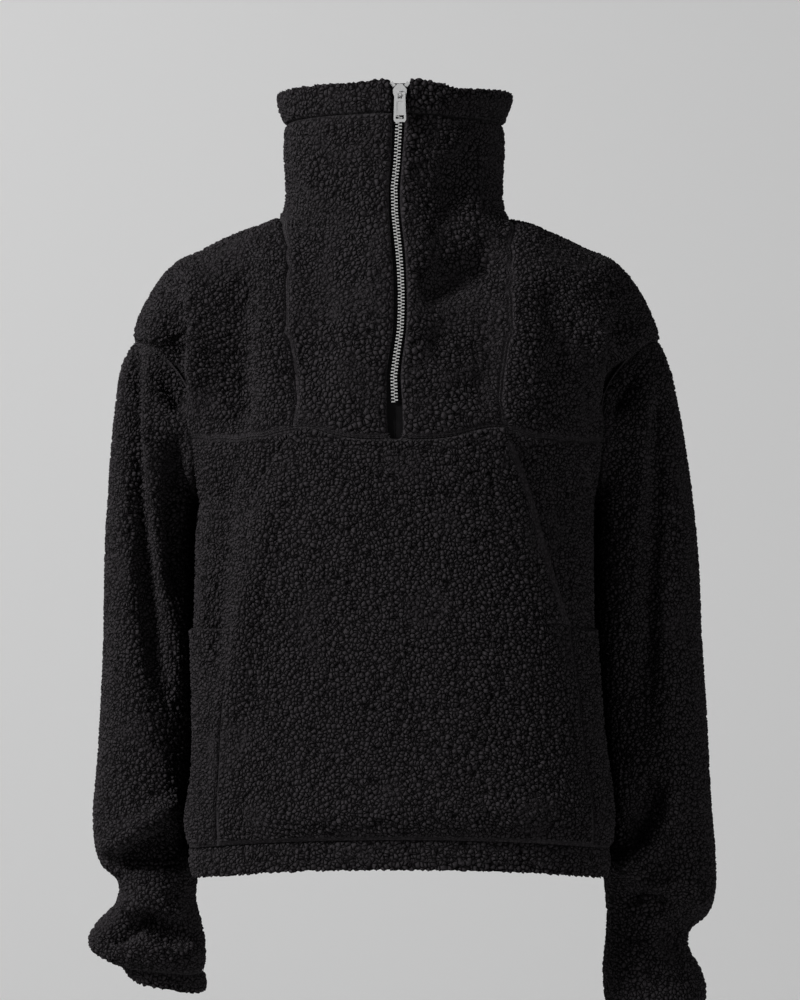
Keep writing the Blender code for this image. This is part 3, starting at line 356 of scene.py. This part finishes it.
def join_skins(label, names):
    """One smooth surface through several pieces, its material index telling them apart."""
    points, faces, owners = [], [], []
    for index, name in enumerate(names):
        for corners in outer_skin(name):
            faces.append(range(len(points), len(points) + len(corners)))
            points += corners
            owners.append(index)
    mesh = bpy.data.meshes.new(label)
    mesh.from_pydata(points, [], faces)
    for name in names:
        mesh.materials.append(bpy.data.materials.new("owner_" + name))
    mesh.polygons.foreach_set("material_index", owners)
    skin = into_scene(label, mesh)
    activate(skin)
    bpy.ops.object.mode_set(mode="EDIT")
    bpy.ops.mesh.select_all(action="SELECT")
    bpy.ops.mesh.remove_doubles(threshold=SEAM_WELD)
    bpy.ops.mesh.tris_convert_to_quads(materials=True, **QUAD_ANGLES)
    bpy.ops.object.mode_set(mode="OBJECT")
    smooth = skin.modifiers.new("Smooth", "SUBSURF")
    smooth.levels = smooth.render_levels = SMOOTH_LEVELS
    smooth.boundary_smooth = "PRESERVE_CORNERS"
    apply_all(skin)
    return skin


def fold_offsets(points, normals):
    """How far the folds push each point: out along its normal, or up at the collar's edge."""
    offsets = np.zeros(points.shape)
    for side, depth, half_width, places in FOLDS:
        facing = np.clip(normals @ SIDES[side] * FACING_GAIN, 0, 1)
        if side in ("left_inside", "right_inside"):
            facing *= np.abs(points[:, 0]) > SLEEVE_INSIDE
        line = np.array(places) / MM
        steps = np.hypot(*np.diff(line, axis=0).T)
        runs = np.concatenate([[0], np.cumsum(steps)])
        nearest = np.full(len(points), np.inf)
        along = np.zeros(len(points))
        here = points[:, [0, 2]]
        for start, end, length, run in zip(line, line[1:], steps, runs):
            share = np.clip((here - start) @ (end - start) / length ** 2, 0, 1)
            gap = np.hypot(*(here - start - share[:, None] * (end - start)).T)
            closer = gap < nearest
            nearest[closer] = gap[closer]
            along[closer] = (run + share * length)[closer] / runs[-1]
        ends = np.clip(np.minimum(along, 1 - along) / FOLD_TAPER, 0, 1)
        shape = np.exp(-(nearest / (half_width / MM)) ** 2)
        push = UPWARDS if side == "front_top" else normals
        amount = depth / MM * shape * facing * ends ** 2 * (3 - 2 * ends)
        offsets += amount[:, None] * push
    return offsets


def chain_rows():
    """The zip's path: heights, with the chain's middle and front face at each."""
    rows = {}
    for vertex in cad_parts["zip_chain"].data.vertices:
        rows.setdefault(round(vertex.co.z, ROW_PLACES), []).append(vertex.co)
    heights = sorted(rows)
    middles = [(min(v.x for v in rows[z]) + max(v.x for v in rows[z])) / 2 for z in heights]
    faces = [min(v.y for v in rows[z]) for z in heights]
    return heights, middles, faces


def fold(skin):
    """Lay the folds into a skin, and keep its outward directions for the pile."""
    mesh = skin.data
    points, normals = rows_of(mesh.vertices, "co"), rows_of(mesh.vertices, "normal")
    moved = points + fold_offsets(points, normals)
    heights, middles, _ = chain_rows()
    beside = points[:, 0] - np.interp(points[:, 2], heights, middles)
    near = np.exp(-(beside / SLIT_REACH) ** 2) * (points[:, 1] < 0)
    near *= np.clip((points[:, 2] - heights[0]) / SLIT_REACH + SLIT_BELOW, 0, 1)
    moved[:, 0] += np.sign(beside) * near * SLIT_OPEN
    move_points(mesh, moved)
    store(mesh, "outward", "FLOAT_VECTOR", rows_of(mesh.vertices, "normal"))


def parted(edge, names):
    """The pieces that meet at a seam, or the one that ends at a free edge; else nothing."""
    owners = tuple(sorted({names[f.material_index] for f in edge.link_faces}))
    return () if len(owners) == 1 and len(edge.link_faces) == 2 else owners


def seam_samples(skin, names):
    """Places along every edge between two pieces or at a free edge, with what they part."""
    mesh = bmesh.new()
    mesh.from_mesh(skin.data)
    samples = []
    for edge in mesh.edges:
        owners = parted(edge, names)
        if not owners:
            continue
        start, end = (v.co.copy() for v in edge.verts)
        count = max(1, round((end - start).length / SEAM_STEP))
        for step in range(count):
            place = start.lerp(end, step / count)
            samples.append((place, seam_kind(owners, place)))
    mesh.free()
    return samples


def seam_kind(owners, place):
    """What sort of seam parts these pieces."""
    if len(owners) == 1 and owners[0].startswith("front") and abs(place.x) < BY_ZIP:
        return "zip"
    if owners == ("pocket_panel",) and FACING_BOTTOM < place.z < FACING_TOP and place.x > 0:
        return "facing"
    if owners[0].startswith("pocket") and place.z < FACING_BOTTOM:
        return "hemline"
    if len(owners) == 1:
        return "edge"
    text = " ".join(owners)
    if "band" in text:
        return "band"
    if "cuff" in text or "hem" in text:
        return "gather"
    if "sleeve" in text:
        return "armhole"
    if "front_body" in text and ("yoke" in text or "front_left" in text or "front_right" in text):
        return "yoke"
    if "yoke" in text and "front" in text:
        return "princess"
    return "plain"


def seam_tree(samples):
    tree = KDTree(len(samples))
    for index, (place, _) in enumerate(samples):
        tree.insert(place, index)
    tree.balance()
    return tree


def cut_out(skin, index, name):
    """Copy the faces that belong to one piece into an object of its own."""
    mesh = bmesh.new()
    mesh.from_mesh(skin.data)
    others = [f for f in mesh.faces if f.material_index != index]
    bmesh.ops.delete(mesh, geom=others, context="FACES")
    for face in mesh.faces:
        face.material_index = OUTER
    return object_of(name + "_cloth", mesh)


def wall_thicknesses(piece, name, under):
    """How thick the wall is at each point: the pocket's also stays clear of the layer below."""
    if name in BASE_PIECES:
        layer = BAND_LAYER if name.startswith(ROLLED_BANDS) else LAYER
        return [layer] * len(piece.data.vertices)
    walls = []
    for vertex in piece.data.vertices:
        below = under.ray_cast(vertex.co, -vertex.normal, LOOK_UNDER)[3]
        room = (below or LAYER) - LAYER_CLEAR
        walls.append(min(LAYER, max(room, LAYER_CLEAR)))
    return walls


def give_wall(piece, thicknesses):
    """Give a piece its wall, inwards from its surface, as thick at each point as told."""
    most = max(thicknesses)
    group = piece.vertex_groups.new(name="thickness")
    for index, thick in enumerate(thicknesses):
        group.add([index], thick / most, "REPLACE")
    wall = piece.modifiers.new("Wall", "SOLIDIFY")
    wall.thickness = most
    wall.offset = -1
    wall.vertex_group = group.name
    wall.material_offset = INNER
    wall.material_offset_rim = RIM
    for label in ("outer", "inner", "rim"):
        piece.data.materials.append(bpy.data.materials.get(label) or bpy.data.materials.new(label))
    apply_all(piece)
    piece.vertex_groups.clear()


def cover_rims(piece, samples, tree):
    """Let the pile run over a band's free rim; every other rim stays bare."""
    mesh = piece.data
    outward = mesh.attributes["outward"].data
    banded = piece.name.startswith(ROLLED_BANDS)
    for face in mesh.polygons:
        if face.material_index != RIM:
            continue
        kind = samples[tree.find(face.center)[1]][1]
        face.material_index = OUTER if banded and kind == "edge" else INNER
        if face.material_index == OUTER:
            for index in face.vertices:
                outward[index].vector = mesh.vertices[index].normal


def covered(place):
    """Whether a place on the front lies well under the pocket panel."""
    low, high = POCKET_COVER
    return place.y < 0 and low[0] < place.x < high[0] and low[1] < place.z < high[1]


def refine(piece, name):
    """Split the outer faces until their edges are short enough to carry the pile."""
    mesh = bmesh.new()
    mesh.from_mesh(piece.data)
    longest = BACK_EDGE if name == "back_panel" else FINE_EDGE
    hidden_longest = COVERED_EDGE if name == "front_body" else longest
    while True:
        long = [e for e in mesh.edges if e.calc_length() > longest
                and (e.calc_length() > hidden_longest or not covered(e.verts[0].co))
                and any(f.material_index == OUTER for f in e.link_faces)]
        if not long:
            break
        bmesh.ops.subdivide_edges(mesh, edges=long, cuts=1, use_grid_fill=True)
    bmesh.ops.triangulate(mesh, faces=[f for f in mesh.faces if len(f.verts) > MOST_CORNERS])
    mesh.to_mesh(piece.data)
    mesh.free()


def add_node(tree, kind, inputs, **settings):
    """Add a node. A socket given for an input is linked to it, and any other value is set."""
    node = tree.nodes.new(kind)
    for key, value in settings.items():
        setattr(node, key, value)
    for key, value in inputs.items():
        if isinstance(value, bpy.types.NodeSocket):
            tree.links.new(value, node.inputs[key])
        else:
            node.inputs[key].default_value = value
    return node


def math_node(tree, operation, *values):
    node = add_node(tree, "ShaderNodeMath", dict(enumerate(values)), operation=operation)
    return node.outputs[0]


def vector_node(tree, operation, inputs):
    node = add_node(tree, "ShaderNodeVectorMath", inputs, operation=operation)
    return node.outputs[0]


def range_node(tree, inputs, **settings):
    return add_node(tree, "ShaderNodeMapRange", inputs, **settings).outputs["Result"]


def mixed(tree, kind, share, first, second):
    inputs = {"Factor": share, "A": first, "B": second}
    return add_node(tree, "ShaderNodeMix", inputs, data_type=kind).outputs["Result"]


def named(tree, kind, label):
    node = add_node(tree, "GeometryNodeInputNamedAttribute", {"Name": label}, data_type=kind)
    return node.outputs["Attribute"]


def curl_texture(tree, place, size):
    """Nodes for one size of curl: its height, and how far a place is clear of the crevices, which
    the fleece's painted crevice shade follows.
    """
    scaled = vector_node(tree, "SCALE", {0: place, "Scale": 1 / size})
    warp = add_node(tree, "ShaderNodeTexNoise",
                    {"Vector": scaled, "Scale": WARP_SCALE, "Detail": WARP_DETAIL})
    spread = vector_node(tree, "MULTIPLY_ADD",
                         {0: warp.outputs["Color"], 1: (CURL_WARP,) * 3, 2: scaled})
    cells = {"Vector": spread, "Scale": 1.0}
    rim = add_node(tree, "ShaderNodeTexVoronoi", cells, feature="DISTANCE_TO_EDGE")
    core = add_node(tree, "ShaderNodeTexVoronoi", cells, feature="F1").outputs["Distance"]
    clear = range_node(tree, {"Value": rim.outputs["Distance"], "From Max": CREVICE_WIDTH},
                       interpolation_type="SMOOTHSTEP")
    slope = math_node(tree, "MULTIPLY", core, -CROWN_SHARE)
    dome = math_node(tree, "MULTIPLY_ADD", core, slope, 1.0)
    return math_node(tree, "MULTIPLY", clear, dome), clear


def pile_nodes():
    """A node group that raises the curls along the stored outward direction."""
    tree = bpy.data.node_groups.new("Pile", "GeometryNodeTree")
    tree.interface.new_socket("Geometry", in_out="INPUT", socket_type="NodeSocketGeometry")
    tree.interface.new_socket("Geometry", in_out="OUTPUT", socket_type="NodeSocketGeometry")
    start = tree.nodes.new("NodeGroupInput")
    rest = named(tree, "FLOAT_VECTOR", "rest")
    small = curl_texture(tree, rest, NUB_PITCH)[0]
    big = curl_texture(tree, rest, BIG_NUB_PITCH)[0]
    height = mixed(tree, "FLOAT", named(tree, "FLOAT", "coarse"), small, big)
    amount = math_node(tree, "MULTIPLY", height, named(tree, "FLOAT", "pile"))
    outward = named(tree, "FLOAT_VECTOR", "outward")
    offset = vector_node(tree, "SCALE", {0: outward, "Scale": amount})
    place = add_node(tree, "GeometryNodeSetPosition",
                     {"Geometry": start.outputs[0], "Offset": offset})
    add_node(tree, "NodeGroupOutput", {0: place.outputs[0]})
    return tree


def plain_material(name, colour, metallic=0.0, roughness=0.5, shine=0.5):
    material = bpy.data.materials.new(name)
    material.use_nodes = True
    shader = material.node_tree.nodes["Principled BSDF"]
    shader.inputs["Base Color"].default_value = (*colour, 1)
    shader.inputs["Metallic"].default_value = metallic
    shader.inputs["Specular IOR Level"].default_value = shine
    shader.inputs["Roughness"].default_value = roughness
    return material


def fleece_material(name, piled):
    """Black sherpa: fuzzy curls with painted shade in the crevices between them, or the plain knit
    of its back.
    """
    material = plain_material(name, KNIT, roughness=FLEECE_ROUGHNESS, shine=FLEECE_SHINE)
    tree = material.node_tree
    shader = tree.nodes["Principled BSDF"]
    shader.inputs["Sheen Weight"].default_value = SHEEN
    shader.inputs["Sheen Roughness"].default_value = SHEEN_ROUGHNESS
    shader.inputs["Sheen Tint"].default_value = SHEEN_TINT
    if not piled:
        return material
    rest, coarse, pile = (add_node(tree, "ShaderNodeAttribute", {}, attribute_name=label).outputs
                          for label in ("rest", "coarse", "pile"))
    small = curl_texture(tree, rest["Vector"], NUB_PITCH)
    big = curl_texture(tree, rest["Vector"], BIG_NUB_PITCH)
    height, clear = (mixed(tree, "FLOAT", coarse["Fac"], *pair) for pair in zip(small, big))
    bare = range_node(tree, {"Value": pile["Fac"], "From Max": NUB_HEIGHT,
                             "To Min": BARE_TONE, "To Max": 0.0})
    # Painted shade: the crevices darken towards the crevice-shade colour, while pressed cloth
    # keeps at least BARE_TONE of the curls' colour
    lit = math_node(tree, "MAXIMUM", clear, bare)
    shade = mixed(tree, "RGBA", lit, (*CREVICE_SHADE, 1), (*CURL, 1))
    fibres = {"Vector": rest["Vector"], "Scale": FUZZ_SCALE, "Detail": FUZZ_DETAIL}
    fuzz = add_node(tree, "ShaderNodeTexNoise", fibres).outputs["Fac"]
    vary = range_node(tree, {"Value": fuzz, "To Min": FUZZ_DARKEST, "To Max": FUZZ_LIGHTEST})
    tone = vector_node(tree, "SCALE", {0: shade, "Scale": vary})
    relief = math_node(tree, "MULTIPLY", height, pile["Fac"])
    grain = math_node(tree, "MULTIPLY_ADD", fuzz, FUZZ_HEIGHT, relief)
    bump = add_node(tree, "ShaderNodeBump", {"Strength": 1.0, "Distance": 1.0, "Height": grain})
    tree.links.new(tone, shader.inputs["Base Color"])
    tree.links.new(bump.outputs["Normal"], shader.inputs["Normal"])
    return material


def dress(piece, name, samples, tree):
    """Give a refined piece its pile: full on open cloth, short by the seams, none inside."""
    mesh = piece.data
    outer = np.zeros(len(mesh.vertices), bool)
    for face in mesh.polygons:
        if face.material_index == OUTER:
            outer[list(face.vertices)] = True
    points = rows_of(mesh.vertices, "co")
    pile = np.zeros(len(points))
    coarse = np.zeros(len(points))
    sink = np.zeros(len(points))
    coarseness = PLACKET_COARSE if name.startswith(("collar", "front_r", "front_l")) else COARSE
    for index in np.nonzero(outer)[0]:
        sample, gap = tree.find(points[index])[1:]
        kind = samples[sample][1]
        flat_on, band, reach, depth, fluff = SEAM_LOOKS[kind]
        if not name.startswith(flat_on):
            band = PLAIN_BAND
        rise = min(1.0, max(0.0, (gap - band) / reach))
        if kind == "edge" and name.startswith(ROLLED_BANDS):
            rise = 1.0
        pile[index] = rise * rise * (3 - 2 * rise)
        sink[index] = depth * np.exp(-(gap / reach) ** 2) + NUB_HEIGHT * PRESSED
        drift = noise.noise(Vector(points[index]) * DRIFT_SCALE) * DRIFT
        near = fluff * max(0.0, 1 - gap / SEAM_REACH)
        share = (max(near, coarseness + drift) - HALFWAY) * SIZE_STEP + HALFWAY
        coarse[index] = min(1.0, max(0.0, share))
    outward = rows_of(mesh.attributes["outward"].data, "vector")
    store(mesh, "rest", "FLOAT_VECTOR", points)
    store(mesh, "pile", "FLOAT", pile * NUB_HEIGHT)
    store(mesh, "coarse", "FLOAT", coarse)
    move_points(mesh, points - outward * sink[:, None])
    piece.modifiers.new("Pile", "NODES").node_group = PILE
    apply_all(piece)
    mesh = piece.data
    mesh.materials.clear()
    mesh.materials.append(FLEECE)
    mesh.materials.append(FLEECE_BACK)
    mesh.polygons.foreach_set("use_smooth", [True] * len(mesh.polygons))


def seam_paths(skin, names, wanted):
    """The runs of edges along the wanted seams, each a list of places and directions out."""
    mesh = bmesh.new()
    mesh.from_mesh(skin.data)
    mesh.normal_update()
    links = {}
    for edge in mesh.edges:
        owners = parted(edge, names)
        middle = (edge.verts[0].co + edge.verts[1].co) / 2
        if owners and seam_kind(owners, middle) == wanted:
            for first, second in (edge.verts, reversed(edge.verts)):
                links.setdefault(first, []).append(second)
    paths = []
    ends = sorted(links, key=lambda v: (len(links[v]) != 1, v.index))
    used = set()
    for start in ends:
        for step in links[start]:
            path, here, following = [start], start, step
            while following is not None and frozenset((here, following)) not in used:
                used.add(frozenset((here, following)))
                path.append(following)
                here = following
                onward = [v for v in links[here] if frozenset((here, v)) not in used]
                following = onward[0] if onward else None
            if len(path) > SHORT_PATH:
                paths.append([(v.co.copy(), v.normal.copy()) for v in path])
    mesh.free()
    return paths


def lay_stitches(label, skin, names, wanted, towards, offsets):
    """Topstitch rows beside a seam: each stitch a short rounded thread on the cloth."""
    surface = surface_of(skin)
    mesh = bmesh.new()
    for path in seam_paths(skin, names, wanted):
        for offset in offsets:
            due = 0.0
            for (start, out), (end, _) in zip(path, path[1:]):
                run = end - start
                side = out.cross(run).normalized()
                side = side if side.dot(towards(start)) > 0 else -side
                while due < run.length:
                    place = start + run * (due / run.length) + side * offset
                    due += STITCH_STEP
                    spot, up = surface.find_nearest(place)[:2]
                    along = run.normalized()
                    across = up.cross(along).normalized()
                    ball = bmesh.ops.create_icosphere(mesh, subdivisions=1, radius=0.5)["verts"]
                    for vertex in ball:
                        x, y, z = vertex.co
                        vertex.co = (spot - up * STITCH_SUNK + along * x * STITCH_LONG
                                     + across * y * STITCH_WIDE + up * z * STITCH_WIDE)
                due -= run.length
    thread = object_of(label, mesh)
    thread.data.materials.append(THREAD)
    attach(thread, "garment")


def upwards(place):
    return Vector((0, 0, 1))


def inwards(place):
    return Vector((-place.x, 0, 0))


def zip_teeth():
    """One row of metal teeth for each tape, meshed with each other along the chain."""
    heights, middles, faces = chain_rows()
    mesh = bmesh.new()
    count = int((heights[-1] - heights[0]) / TOOTH_PITCH * 2)
    for number in range(count):
        side = 1 if number % 2 else -1
        z = heights[0] + (number + 0.5) * TOOTH_PITCH / 2
        x = np.interp(z, heights, middles) + side * TOOTH_OUT
        y = np.interp(z, heights, faces) + TOOTH_SIZE[1] / 2
        cube = bmesh.ops.create_cube(mesh, size=1)["verts"]
        for vertex in cube:
            tall = 1.0 if vertex.co.x * side > 0 else TOOTH_TIP
            vertex.co = Vector((vertex.co.x * TOOTH_SIZE[0] + x,
                                vertex.co.y * TOOTH_SIZE[1] + y,
                                vertex.co.z * TOOTH_SIZE[2] * tall + z))
    bmesh.ops.bevel(mesh, geom=mesh.edges[:], offset=TOOTH_ROUNDING, segments=1,
                    affect="EDGES")
    teeth = object_of("zip_teeth", mesh)
    teeth.data.materials.append(TOOTH_METAL)
    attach(teeth, "garment")
    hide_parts("zip_chain")


def stage_sheet(name, material, size, place, turned):
    bpy.ops.object.select_all(action="DESELECT")
    bpy.ops.mesh.primitive_plane_add(size=size, location=place, rotation=turned)
    sheet = bpy.context.object
    sheet.name = name
    sheet.data.materials.append(material)


def soft_light(name, size, watts, place, target):
    light = bpy.data.lights.new(name, "AREA")
    light.size = size
    light.energy = watts
    lamp = into_scene(name, light)
    lamp.location = place
    aim = Vector(target) - Vector(place)
    lamp.rotation_euler = aim.to_track_quat("-Z", "Y").to_euler()


# Materials
FLEECE = fleece_material("Fleece", True)
FLEECE_BACK = fleece_material("Fleece back", False)
TAPE = plain_material("Zip tape", (0.007, 0.0066, 0.0072), roughness=0.85, shine=0.05)
METAL = plain_material("Zip metal", (0.80, 0.80, 0.80), metallic=0.45, roughness=0.24)
TOOTH_METAL = plain_material("Zip teeth", (0.86, 0.86, 0.85), metallic=0.55, roughness=0.30)
THREAD = plain_material("Thread", (0.014, 0.0126, 0.0138), roughness=0.6, shine=0.3)
PALE = plain_material("Studio", (0.55, 0.55, 0.55), roughness=0.95)
FLOOR = plain_material("Studio floor", (0.45, 0.45, 0.45), roughness=0.95)
glow = PALE.node_tree.nodes["Principled BSDF"].inputs
glow["Emission Color"].default_value = (1, 1, 1, 1)
glow["Emission Strength"].default_value = PALE_GLOW
PILE = pile_nodes()

# Cloth: one smooth folded skin for each layer, cut into its pieces, each dressed on its own
base = join_skins("base", BASE_PIECES)
pocket = join_skins("pocket", POCKET_PIECES)
fold(base)
fold(pocket)
under = surface_of(base)
for skin, names in ((base, BASE_PIECES), (pocket, POCKET_PIECES)):
    samples = seam_samples(skin, names)
    tree = seam_tree(samples)
    for index, name in enumerate(names):
        piece = cut_out(skin, index, name)
        give_wall(piece, wall_thicknesses(piece, name, under))
        cover_rims(piece, samples, tree)
        refine(piece, name)
        dress(piece, name, samples, tree)
        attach(piece, "garment")
        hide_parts(name)

# Topstitching: the seam it follows, the side that it lies on, and its rows' distances from it
for label, skin, names, wanted, towards, offsets in (
        ("topstitch_yoke", base, BASE_PIECES, "yoke", upwards, (0.0010, 0.0030)),
        ("topstitch_armholes", base, BASE_PIECES, "armhole", inwards, (0.0008, 0.0026)),
        ("topstitch_princess", base, BASE_PIECES, "princess", inwards, (0.0022,)),
        ("topstitch_hem", base, BASE_PIECES, "gather", upwards, (0.0018,)),
        ("topstitch_pocket", pocket, POCKET_PIECES, "facing", inwards, (0.0048,))):
    lay_stitches(label, skin, names, wanted, towards, offsets)
for skin in (base, pocket):
    bpy.data.objects.remove(skin)

zip_teeth()
for name, material in (
        ("zip_tape_right", TAPE), ("zip_tape_left", TAPE),
        ("zip_stop_right", METAL), ("zip_stop_left", METAL), ("zip_slider", METAL),
        ("zip_pull", METAL)):
    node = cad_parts[name]
    node.data.materials.clear()
    node.data.materials.append(material)

# Studio: a pale floor and backdrop, and soft light from the viewer's left
stage_sheet("floor", FLOOR, FLOOR_SIZE, (0, 0, FLOOR_HEIGHT), (0, 0, 0))
stage_sheet("backdrop", PALE, BACKDROP_SIZE, (0, BACKDROP_BEHIND, 0), UPRIGHT)
for light in LIGHTS:
    soft_light(*light)
world = bpy.data.worlds.new("Studio air")
world.use_nodes = True
world.node_tree.nodes["Background"].inputs["Color"].default_value = AIR_COLOUR
world.node_tree.nodes["Background"].inputs["Strength"].default_value = AIR_STRENGTH
bpy.context.scene.world = world
bpy.context.scene.view_settings.view_transform = "Standard"

lens = bpy.data.cameras.new("camera")
lens.lens = LENS
lens.sensor_fit = "VERTICAL"
lens.sensor_height = SENSOR_HEIGHT
camera = into_scene("camera", lens)
camera.location = CAMERA_PLACE
camera.rotation_euler = UPRIGHT
bpy.context.scene.camera = camera
